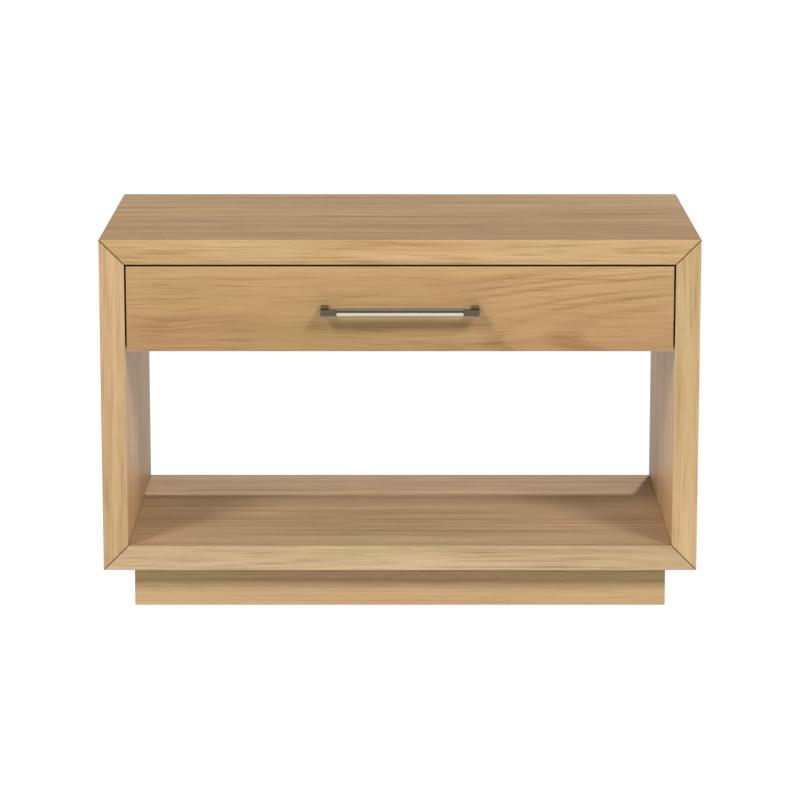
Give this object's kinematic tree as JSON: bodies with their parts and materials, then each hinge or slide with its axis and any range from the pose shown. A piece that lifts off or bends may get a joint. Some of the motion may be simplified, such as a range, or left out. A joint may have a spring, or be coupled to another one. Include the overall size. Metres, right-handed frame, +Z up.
{
  "type": "nightstand",
  "caption": "Wide bedside cabinet of mitred oak panels on a recessed plinth, with an inset slide-out drawer and bar pull over an open shelf.",
  "frame": {"origin": "on the floor, under the middle of the whole object's box, handle included", "axes": "+X to the right seen from the front, +Y to the back so the drawer opens towards -Y, +Z up"},
  "size_m": [0.9144, 0.546, 0.5842],
  "materials": {
    "oak_veneer": "satin lacquer",
    "drawer_box_maple": "satin lacquer",
    "poplar": "unfinished",
    "plywood": "satin lacquer",
    "polished_nickel": "polished",
    "dark_nickel": "satin",
    "zinc_steel": "zinc plated",
    "nylon": "matte"
  },
  "bodies": {
    "case": {"top_panel": "oak_veneer", "shelf_panel": "oak_veneer", "side_panel_left": "oak_veneer", "side_panel_right": "oak_veneer", "back_panel": "oak_veneer", "dust_panel": "plywood", "mitre_spline_top_left": "plywood", "mitre_spline_top_right": "plywood", "mitre_spline_bottom_left": "plywood", "mitre_spline_bottom_right": "plywood", "plinth_front": "oak_veneer", "plinth_back": "oak_veneer", "plinth_left": "oak_veneer", "plinth_right": "oak_veneer", "plinth_stretcher": "poplar", "corner_block_front_left": "poplar", "corner_block_front_right": "poplar", "corner_block_back_left": "poplar", "corner_block_back_right": "poplar", "plinth_screw_front_left": "zinc_steel", "plinth_screw_front_right": "zinc_steel", "plinth_screw_back_left": "zinc_steel", "plinth_screw_back_right": "zinc_steel", "glide_front_left": "nylon", "glide_front_right": "nylon", "glide_back_left": "nylon", "glide_back_right": "nylon", "slide_cabinet_member_left": "zinc_steel", "slide_cabinet_member_right": "zinc_steel", "slide_cabinet_screw_front_left": "zinc_steel", "slide_cabinet_screw_front_right": "zinc_steel", "slide_cabinet_screw_rear_left": "zinc_steel", "slide_cabinet_screw_rear_right": "zinc_steel"},
    "drawer": {"drawer_front": "oak_veneer", "drawer_box_front": "drawer_box_maple", "drawer_box_back": "drawer_box_maple", "drawer_box_left": "drawer_box_maple", "drawer_box_right": "drawer_box_maple", "drawer_bottom": "plywood", "front_screw_lower_left": "zinc_steel", "front_screw_lower_right": "zinc_steel", "front_screw_upper_left": "zinc_steel", "front_screw_upper_right": "zinc_steel", "handle_screw_left": "zinc_steel", "handle_screw_right": "zinc_steel", "handle_grip": "polished_nickel", "handle_end_left": "dark_nickel", "handle_end_right": "dark_nickel", "slide_drawer_member_left": "zinc_steel", "slide_drawer_member_right": "zinc_steel", "slide_drawer_screw_front_left": "zinc_steel", "slide_drawer_screw_front_right": "zinc_steel", "slide_drawer_screw_rear_left": "zinc_steel", "slide_drawer_screw_rear_right": "zinc_steel"},
    "intermediate_left": {"slide_intermediate_member_left": "zinc_steel"},
    "intermediate_right": {"slide_intermediate_member_right": "zinc_steel"},
    "outer_bearing_left": {"slide_outer_bearing_left": "zinc_steel"},
    "outer_bearing_right": {"slide_outer_bearing_right": "zinc_steel"},
    "inner_bearing_left": {"slide_inner_bearing_left": "zinc_steel"},
    "inner_bearing_right": {"slide_inner_bearing_right": "zinc_steel"}
  },
  "joints": [
    {"name": "drawer_slide", "type": "slide", "parent": "case", "child": "drawer", "axis": [0, -1, 0], "range_m": [0, 0.45]},
    {"name": "intermediate_left_slide", "type": "slide", "parent": "case", "child": "intermediate_left", "axis": [0, -1, 0], "range_m": [0, 0.226]},
    {"name": "intermediate_right_slide", "type": "slide", "parent": "case", "child": "intermediate_right", "axis": [0, -1, 0], "range_m": [0, 0.226]},
    {"name": "outer_bearing_left_roll", "type": "slide", "parent": "case", "child": "outer_bearing_left", "axis": [0, -1, 0], "range_m": [0, 0.114]},
    {"name": "outer_bearing_right_roll", "type": "slide", "parent": "case", "child": "outer_bearing_right", "axis": [0, -1, 0], "range_m": [0, 0.114]},
    {"name": "inner_bearing_left_roll", "type": "slide", "parent": "case", "child": "inner_bearing_left", "axis": [0, -1, 0], "range_m": [0, 0.339]},
    {"name": "inner_bearing_right_roll", "type": "slide", "parent": "case", "child": "inner_bearing_right", "axis": [0, -1, 0], "range_m": [0, 0.339]}
  ],
  "couplings": [
    {"joint": "intermediate_left_slide", "follows": "drawer_slide", "ratio": 0.5},
    {"joint": "intermediate_right_slide", "follows": "drawer_slide", "ratio": 0.5},
    {"joint": "outer_bearing_left_roll", "follows": "drawer_slide", "ratio": 0.25},
    {"joint": "outer_bearing_right_roll", "follows": "drawer_slide", "ratio": 0.25},
    {"joint": "inner_bearing_left_roll", "follows": "drawer_slide", "ratio": 0.75},
    {"joint": "inner_bearing_right_roll", "follows": "drawer_slide", "ratio": 0.75}
  ]
}
